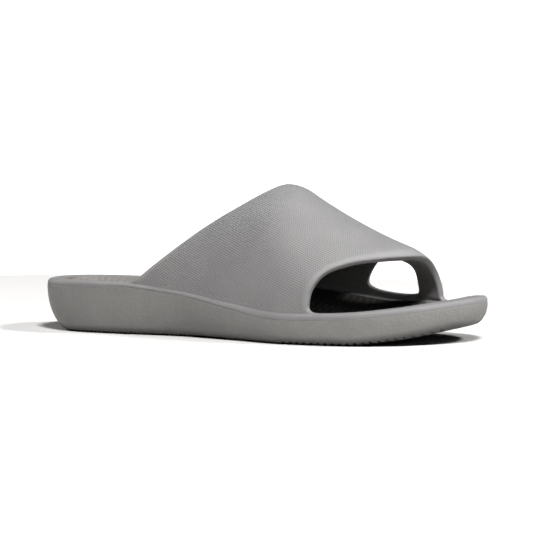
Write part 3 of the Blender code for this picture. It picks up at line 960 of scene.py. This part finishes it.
def build_tread_cutter():
    """Wedges that cut the tread grooves, each square to the underside where it lies."""
    mesh = bmesh.new()
    count = 0
    for zone in TREAD_ZONES:
        width, depth = zone["width"], zone["depth"]
        lean = (1 - GROOVE_FLOOR_SHARE) * width / 2 / depth
        mouth_half = width / 2 + CUTTER_CLEARANCE * lean
        top_half = width / 2 - depth * lean
        section = (
            (-mouth_half, -CUTTER_CLEARANCE),
            (mouth_half, -CUTTER_CLEARANCE),
            (top_half, depth),
            (-top_half, depth),
        )
        for x in np.arange(zone["start"] * LENGTH, zone["end"] * LENGTH, zone["pitch"]):
            slope = math.atan2(foot_height(x + MM) - foot_height(x - MM), 2 * MM)
            along = Vector((math.cos(slope), 0.0, math.sin(slope)))
            upward = Vector((-math.sin(slope), 0.0, math.cos(slope)))
            middle = Vector((x, 0.0, foot_height(x)))
            corners = []
            for y in (-BALL_WIDTH, BALL_WIDTH):
                for out, up in section:
                    corner = middle + along * out + upward * up
                    corners.append(mesh.verts.new((corner.x, y, corner.z)))
            near, far = corners[:4], corners[4:]
            join_strips(mesh, closed(near), closed(far))
            mesh.faces.new(near)
            mesh.faces.new(far)
            count += 1
    print("tread grooves:", count)
    return make_object(mesh, "tread_cutter")


cutter = build_tread_cutter()
cut = sole.modifiers.new("tread", "BOOLEAN")
cut.operation = "DIFFERENCE"
cut.solver = "EXACT"
cut.object = cutter
apply_modifiers(sole)
bpy.data.objects.remove(cutter)
sole.data.set_sharp_from_angle(angle=TREAD_SHARP_ANGLE)
places = point_places(sole.data)
keep_numbers(sole.data, "over_foot_mm", (places[:, 2] - foot_height(places[:, 0])) / MM)
print("sole with tread:", triangles(sole), "triangles")

# %% [markdown]
# ## The footbed
# The footbed is the layer under the foot. It is dished, and its top has wavy ribs across
# the foot that keep the skin from sliding. Ribs four millimetres apart show in the
# outline of the far rim, so they are real relief in the mesh and not only a bump. Each
# point also keeps how far it lies under the strap, for the painted shade there.

# %% Build the footbed
BED_STEPS = 470
BED_ROW_STEPS = 56
BED_EDGE_ROUND = 0.0006
RIB_PITCH = 4.2 * MM
RIB_HEIGHT = 0.6 * MM
WAVE_PITCH = 9.0 * MM
WAVE_REACH = 0.9 * MM
RIB_MARGIN = (0.2 * MM, 1.0 * MM)
BED_SHARP_ANGLE = math.radians(60)
COVER_STARTS = (-0.03, 0.06)
COVER_ENDS = (-0.05, 0.02)


def rib_relief(point, inset):
    """Height of the wavy ribs, which fade out towards the edge of the footbed."""
    wave = WAVE_REACH * math.sin(math.tau * point.y / WAVE_PITCH)
    crest = 0.5 + 0.5 * math.cos(math.tau * (point.x + wave) / RIB_PITCH)
    ends = min(point.x, LENGTH - point.x) - LIP_WIDTH
    fade = float(smooth_step(*RIB_MARGIN, min(inset, ends)))
    return RIB_HEIGHT * crest * fade


def build_footbed():
    """A dished layer of even thickness that lies inside the lip."""
    mesh = bmesh.new()
    rim = even_rim(BED_STEPS)
    side = LIP_WIDTH + FIT
    high = FIT + BED_THICKNESS
    profile = (
        (side, FIT),
        (side, high - 1.5 * BED_EDGE_ROUND),
        (side + 0.2 * BED_EDGE_ROUND, high - 0.6 * BED_EDGE_ROUND),
        (side + 0.6 * BED_EDGE_ROUND, high - 0.15 * BED_EDGE_ROUND),
        (side + 1.4 * BED_EDGE_ROUND, high),
    )
    rings = []
    for inset, lift in profile:
        rings.append(ring_of(mesh, rim, lambda _: inset, lambda index: rim.lip_height(index) + lift))
    join_all(mesh, [closed(ring) for ring in rings])
    dished_rows(mesh, rim, rings[0], FIT, SEAT_STEPS, lambda point, inset: 0.0)
    dished_rows(mesh, rim, rings[-1], high, BED_ROW_STEPS, rib_relief)
    return make_object(mesh, "footbed_foam")


def strap_cover(data):
    """How far each point lies under the strap, from 0 in the open to 1 well inside."""
    places = point_places(data)
    at = places[:, 0] / LENGTH
    across = np.clip(places[:, 1] / (BALL_WIDTH / 2 - LIP_WIDTH), -1.0, 1.0)
    turn = np.arccos(-across) / math.pi
    turns, rears, fronts = zip(*EDGES)
    past_rear = at - np.interp(turn, turns, rears)
    past_front = at - np.interp(turn, turns, fronts)
    return smooth_step(*COVER_STARTS, past_rear) - smooth_step(*COVER_ENDS, past_front)


footbed = build_footbed()
footbed.data.set_sharp_from_angle(angle=BED_SHARP_ANGLE)
keep_numbers(footbed.data, "under_strap", strap_cover(footbed.data))
print("footbed:", triangles(footbed), "triangles")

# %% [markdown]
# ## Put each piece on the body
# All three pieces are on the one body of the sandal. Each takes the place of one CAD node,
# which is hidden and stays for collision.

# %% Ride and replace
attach(upper, "root")
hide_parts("upper")
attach(sole, "root")
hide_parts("sole")
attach(footbed, "root")
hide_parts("footbed")
print("pieces:", [piece.name for piece in (upper, sole, footbed)])

# %% [markdown]
# ## Foam materials
# EVA foam from a mould has a closed skin: matt, very slightly satin, with a fine grain
# from the eroded steel of the mould, and faint clouds in its colour where the foam cooled
# unevenly. It reflects like most plastics, with an index of about 1.48 and a roughness
# round 0.6. One function adds a node with its settings and links, and all three materials
# are made with it.

# %% Node tool and colour
EVA_INDEX = 1.48


def linear(hex_colour):
    """An sRGB hex colour as the linear colour that a shader takes."""
    channels = []
    for start in (1, 3, 5):
        value = int(hex_colour[start:start + 2], 16) / 255
        channels.append(value / 12.92 if value <= 0.04045 else ((value + 0.055) / 1.055) ** 2.4)
    return (*channels, 1.0)


def add_node(tree, kind, inputs=None, **settings):
    """Add one node. Settings are its options; inputs are numbers, or sockets to link."""
    node = tree.nodes.new(kind)
    for name, value in settings.items():
        setattr(node, name, value)
    for key, value in (inputs or {}).items():
        if isinstance(value, bpy.types.NodeSocket):
            tree.links.new(value, node.inputs[key])
        else:
            node.inputs[key].default_value = value
    return node


def calc(tree, operation, *values):
    """The result of a Math node."""
    inputs = dict(enumerate(values))
    return add_node(tree, "ShaderNodeMath", inputs, operation=operation).outputs[0]


def start_foam(name):
    """A new material with a foam shader, and the object's own coordinates."""
    material = bpy.data.materials.new(name)
    material.use_nodes = True
    tree = material.node_tree
    shader = tree.nodes["Principled BSDF"]
    shader.inputs["Metallic"].default_value = 0.0
    shader.inputs["IOR"].default_value = EVA_INDEX
    place = add_node(tree, "ShaderNodeTexCoord").outputs["Object"]
    return material, tree, place


# %% [markdown]
# ## Upper: moulded EVA with a woven texture
# The rows are 1.28 mm apart and the cells along them 1.38 mm long, just wide enough to show
# at this distance. Each row is a round rib, because the bump is a root of a sine. Grooves
# are darker than ribs, since light hardly reaches into them. The lip and the rounded edges
# are darker than the strap's skin. Near its front and rear edge the skin carries a painted
# highlight, a touch lighter.

# %% Upper material
NOISE_RANGE = (0.3, 0.7)
CLOUD_DETAIL = 3.0
GRAIN_DETAIL = 2.0
WOVEN_LOOK = {
    "colour": "#9a9999",
    "patches": (18.0, 0.965, 1.035),
    "specks": (2.5, 0.985, 1.015),
    "roughness": (9.0, 0.60, 0.70),
}
WOVEN_GRAIN = (0.5, 0.03 * MM)
ROW_PITCH_MM = 1.28
CELL_LENGTH_MM = 1.38
ROW_DEPTH = 0.16 * MM
CELL_SHARE = 0.7
RIB_POWER = 0.6
GROOVE_SHADE = 0.42
SKIN_LIFT = 0.11
EDGE_HIGHLIGHT_LIFT = 0.03
LIP_TONE = 0.87


def attribute(tree, name):
    return add_node(tree, "ShaderNodeAttribute", attribute_name=name).outputs["Fac"]


def noise(tree, place, size_mm, detail):
    """Noise whose grains are this many millimetres across."""
    inputs = {"Vector": place, "Scale": 1 / (size_mm * MM), "Detail": detail}
    return add_node(tree, "ShaderNodeTexNoise", inputs).outputs["Fac"]


def mapped(tree, value, old, new, interpolation="LINEAR"):
    """A number taken from one range to another."""
    inputs = {"Value": value, "From Min": old[0], "From Max": old[1], "To Min": new[0], "To Max": new[1]}
    return add_node(tree, "ShaderNodeMapRange", inputs, interpolation_type=interpolation).outputs["Result"]


def clouds(tree, place, size_mm, low, high):
    """Soft noise between two levels, for colour or roughness that varies a little."""
    return mapped(tree, noise(tree, place, size_mm, CLOUD_DETAIL), NOISE_RANGE, (low, high))


def bump(tree, height, depth, normal=None):
    inputs = {"Strength": 1.0, "Distance": depth, "Height": height}
    if normal:
        inputs["Normal"] = normal
    return add_node(tree, "ShaderNodeBump", inputs).outputs["Normal"]


def grain_bump(tree, place, size_mm, depth, normal=None):
    """The fine grain of the mould's steel."""
    return bump(tree, noise(tree, place, size_mm, GRAIN_DETAIL), depth, normal)


def finish_foam(material, place, look, factors, normal):
    """Link the colour times its clouds and factors, the roughness and the normal."""
    tree = material.node_tree
    product = clouds(tree, place, *look["patches"])
    for factor in (clouds(tree, place, *look["specks"]), *factors):
        product = calc(tree, "MULTIPLY", product, factor)
    inputs = {0: linear(look["colour"])[:3], "Scale": product}
    tint = add_node(tree, "ShaderNodeVectorMath", inputs, operation="SCALE").outputs[0]
    shader = tree.nodes["Principled BSDF"]
    tree.links.new(tint, shader.inputs["Base Color"])
    tree.links.new(clouds(tree, place, *look["roughness"]), shader.inputs["Roughness"])
    tree.links.new(normal, shader.inputs["Normal"])
    return material


def woven_eva():
    """EVA pressed in a mould with a woven texture: matt, with fine rows of cells."""
    material, tree, place = start_foam("pressed_eva_woven_texture")
    row_place = calc(tree, "DIVIDE", attribute(tree, "round_arch_mm"), ROW_PITCH_MM)
    cell_place = calc(tree, "DIVIDE", attribute(tree, "down_slope_mm"), CELL_LENGTH_MM)
    row = calc(tree, "FLOOR", row_place)
    shifted = calc(tree, "ADD", cell_place, calc(tree, "MULTIPLY", row, 0.5))
    rib = calc(tree, "ABSOLUTE", calc(tree, "SINE", calc(tree, "MULTIPLY", row_place, math.pi)))
    cell = calc(tree, "ABSOLUTE", calc(tree, "SINE", calc(tree, "MULTIPLY", shifted, math.pi)))
    rounded = calc(tree, "POWER", rib, RIB_POWER)
    notched = calc(tree, "MULTIPLY_ADD", calc(tree, "POWER", cell, RIB_POWER), CELL_SHARE, 1 - CELL_SHARE)
    sunk = calc(tree, "SUBTRACT", 1.0, calc(tree, "MULTIPLY", rounded, notched))
    sunk = calc(tree, "MULTIPLY", sunk, attribute(tree, "texture"))
    woven = bump(tree, calc(tree, "SUBTRACT", 1.0, sunk), ROW_DEPTH)

    lift = calc(tree, "MULTIPLY_ADD", attribute(tree, "texture"), SKIN_LIFT, 1.0)
    shade = calc(tree, "MULTIPLY_ADD", sunk, -GROOVE_SHADE, lift)
    # Painted highlight along the strap's front and rear edges.
    highlight = calc(tree, "MULTIPLY_ADD", attribute(tree, "painted_edge_highlight"), EDGE_HIGHLIGHT_LIFT, 1.0)
    strap = calc(tree, "MULTIPLY_ADD", attribute(tree, "skin"), 1 - LIP_TONE, LIP_TONE)
    normal = grain_bump(tree, place, *WOVEN_GRAIN, woven)
    return finish_foam(material, place, WOVEN_LOOK, (shade, highlight, strap), normal)


def dress(piece, material):
    piece.data.materials.clear()
    piece.data.materials.append(material)
    print(piece.name, "is", material.name)


dress(upper, woven_eva())

# %% [markdown]
# ## Sole: moulded EVA, plain grain
# The wall of the sole has no pattern, only the grain of the mould and faint streaks from
# top to bottom where the foam swelled against the steel. The lowest five millimetres carry
# painted shade, darker towards the floor.

# %% Sole material
PLAIN_LOOK = {
    "colour": "#91908e",
    "patches": (14.0, 0.96, 1.04),
    "specks": (1.2, 0.95, 1.05),
    "roughness": (7.0, 0.58, 0.68),
}
PLAIN_GRAIN = (1.0, 0.30 * MM)
STREAKS = (2.2, 0.985, 1.015)
STREAK_GRAIN = (1.6, 0.06 * MM)
STREAK_SQUASH = 0.12
SHADE_NEAR_FLOOR_MM = (0.3, 5.5)
SHADE_NEAR_FLOOR_TONES = (0.38, 1.0)


def plain_eva():
    """EVA pressed in a grained mould: matt, with faint upright streaks and painted shade low on the wall.
    """
    material, tree, place = start_foam("pressed_eva_plain_grain")
    stretched = {"Vector": place, "Scale": (1.0, 1.0, STREAK_SQUASH)}
    streak_place = add_node(tree, "ShaderNodeMapping", stretched).outputs["Vector"]
    normal = grain_bump(tree, place, *PLAIN_GRAIN, grain_bump(tree, streak_place, *STREAK_GRAIN))
    # Painted shade: the wall grows darker over its lowest five millimetres.
    shade_near_floor = mapped(tree, attribute(tree, "over_foot_mm"), SHADE_NEAR_FLOOR_MM, SHADE_NEAR_FLOOR_TONES, "SMOOTHSTEP")
    return finish_foam(material, place, PLAIN_LOOK, (clouds(tree, streak_place, *STREAKS), shade_near_floor), normal)


dress(sole, plain_eva())

# %% [markdown]
# ## Footbed: softer EVA
# The footbed is a softer grade, with a rougher skin than the rest. Under the strap it lies
# almost black in shade, darker than the lights here leave it, so painted shade darkens its
# colour where the strap covers it.

# %% Footbed material
SOFT_LOOK = {
    "colour": "#8b8986",
    "patches": (12.0, 0.95, 1.05),
    "specks": (1.5, 0.97, 1.03),
    "roughness": (5.0, 0.62, 0.74),
}
SOFT_GRAIN = (0.7, 0.06 * MM)
SHADE_UNDER_STRAP = 0.3


def soft_eva():
    """Soft EVA with a rough skin, with painted shade under the strap."""
    material, tree, place = start_foam("soft_eva_ribbed")
    # Painted shade: the colour falls to 30 percent where the strap covers the footbed.
    shaded = calc(tree, "MULTIPLY_ADD", attribute(tree, "under_strap"), SHADE_UNDER_STRAP - 1.0, 1.0)
    return finish_foam(material, place, SOFT_LOOK, (shaded,), grain_bump(tree, place, *SOFT_GRAIN))


dress(footbed, soft_eva())

# %% [markdown]
# ## The studio
# The sandal stands on a pale floor in a white room. Three soft lights shape it: one beyond
# the toes, the strongest high in front, and a lower, weaker one behind the heel. A low fill
# reaches in at the toe opening. All stand three metres off, so that the floor is evenly
# lit. The room is white for the camera but lights the sandal very little, and the view's
# high contrast gives the deep shade inside the strap that the photo has.

# %% Floor, lights and room
ROOM_LIGHT = 0.018
FLOOR_RADIUS = 0.45
LIGHT_DISTANCE = 3.0
FLOOR_COLOUR = "#e6e5e4"
FLOOR_ROUGHNESS = 0.8
# Azimuth and elevation in degrees, size in metres, power in watts.
LIGHTS = {
    "toe_light": (106.0, 43.0, 0.50, 41.0),
    "front_light": (42.0, 56.0, 0.60, 64.0),
    "heel_light": (268.0, 26.0, 0.60, 25.0),
    "fill_light": (48.0, 10.0, 0.60, 4.0),
}


def build_floor():
    mesh = bmesh.new()
    bmesh.ops.create_circle(mesh, cap_ends=True, segments=96, radius=FLOOR_RADIUS)
    floor = make_object(mesh, "floor")
    material = bpy.data.materials.new("white_painted_floor")
    material.use_nodes = True
    shader = material.node_tree.nodes["Principled BSDF"]
    shader.inputs["Base Color"].default_value = linear(FLOOR_COLOUR)
    shader.inputs["Roughness"].default_value = FLOOR_ROUGHNESS
    floor.data.materials.append(material)
    return floor


def add_area(name, azimuth, elevation, size, power):
    """A square soft light in a direction from the sandal, turned to face it."""
    light = bpy.data.lights.new(name, "AREA")
    light.shape = "SQUARE"
    light.size = size
    light.energy = power
    lamp = bpy.data.objects.new(name, light)
    bpy.context.scene.collection.objects.link(lamp)
    outward = direction(math.radians(azimuth), math.radians(elevation))
    lamp.location = AIM + outward * LIGHT_DISTANCE
    lamp.rotation_mode = "QUATERNION"
    lamp.rotation_quaternion = (-outward).to_track_quat("-Z", "Y")
    lamp.visible_camera = False


build_floor()
for name, values in LIGHTS.items():
    add_area(name, *values)

world = bpy.data.worlds.new("white_room")
world.use_nodes = True
bpy.context.scene.world = world
tree = world.node_tree
tree.nodes.clear()
dim = add_node(tree, "ShaderNodeBackground", {"Color": linear("#ffffff"), "Strength": ROOM_LIGHT})
white = add_node(tree, "ShaderNodeBackground", {"Color": linear("#ffffff"), "Strength": 1.0})
seen = add_node(tree, "ShaderNodeLightPath").outputs["Is Camera Ray"]
room = add_node(
    tree, "ShaderNodeMixShader", {0: seen, 1: dim.outputs["Background"], 2: white.outputs["Background"]})
add_node(tree, "ShaderNodeOutputWorld", {"Surface": room.outputs["Shader"]})
bpy.context.scene.view_settings.view_transform = "Standard"
bpy.context.scene.view_settings.look = "High Contrast"
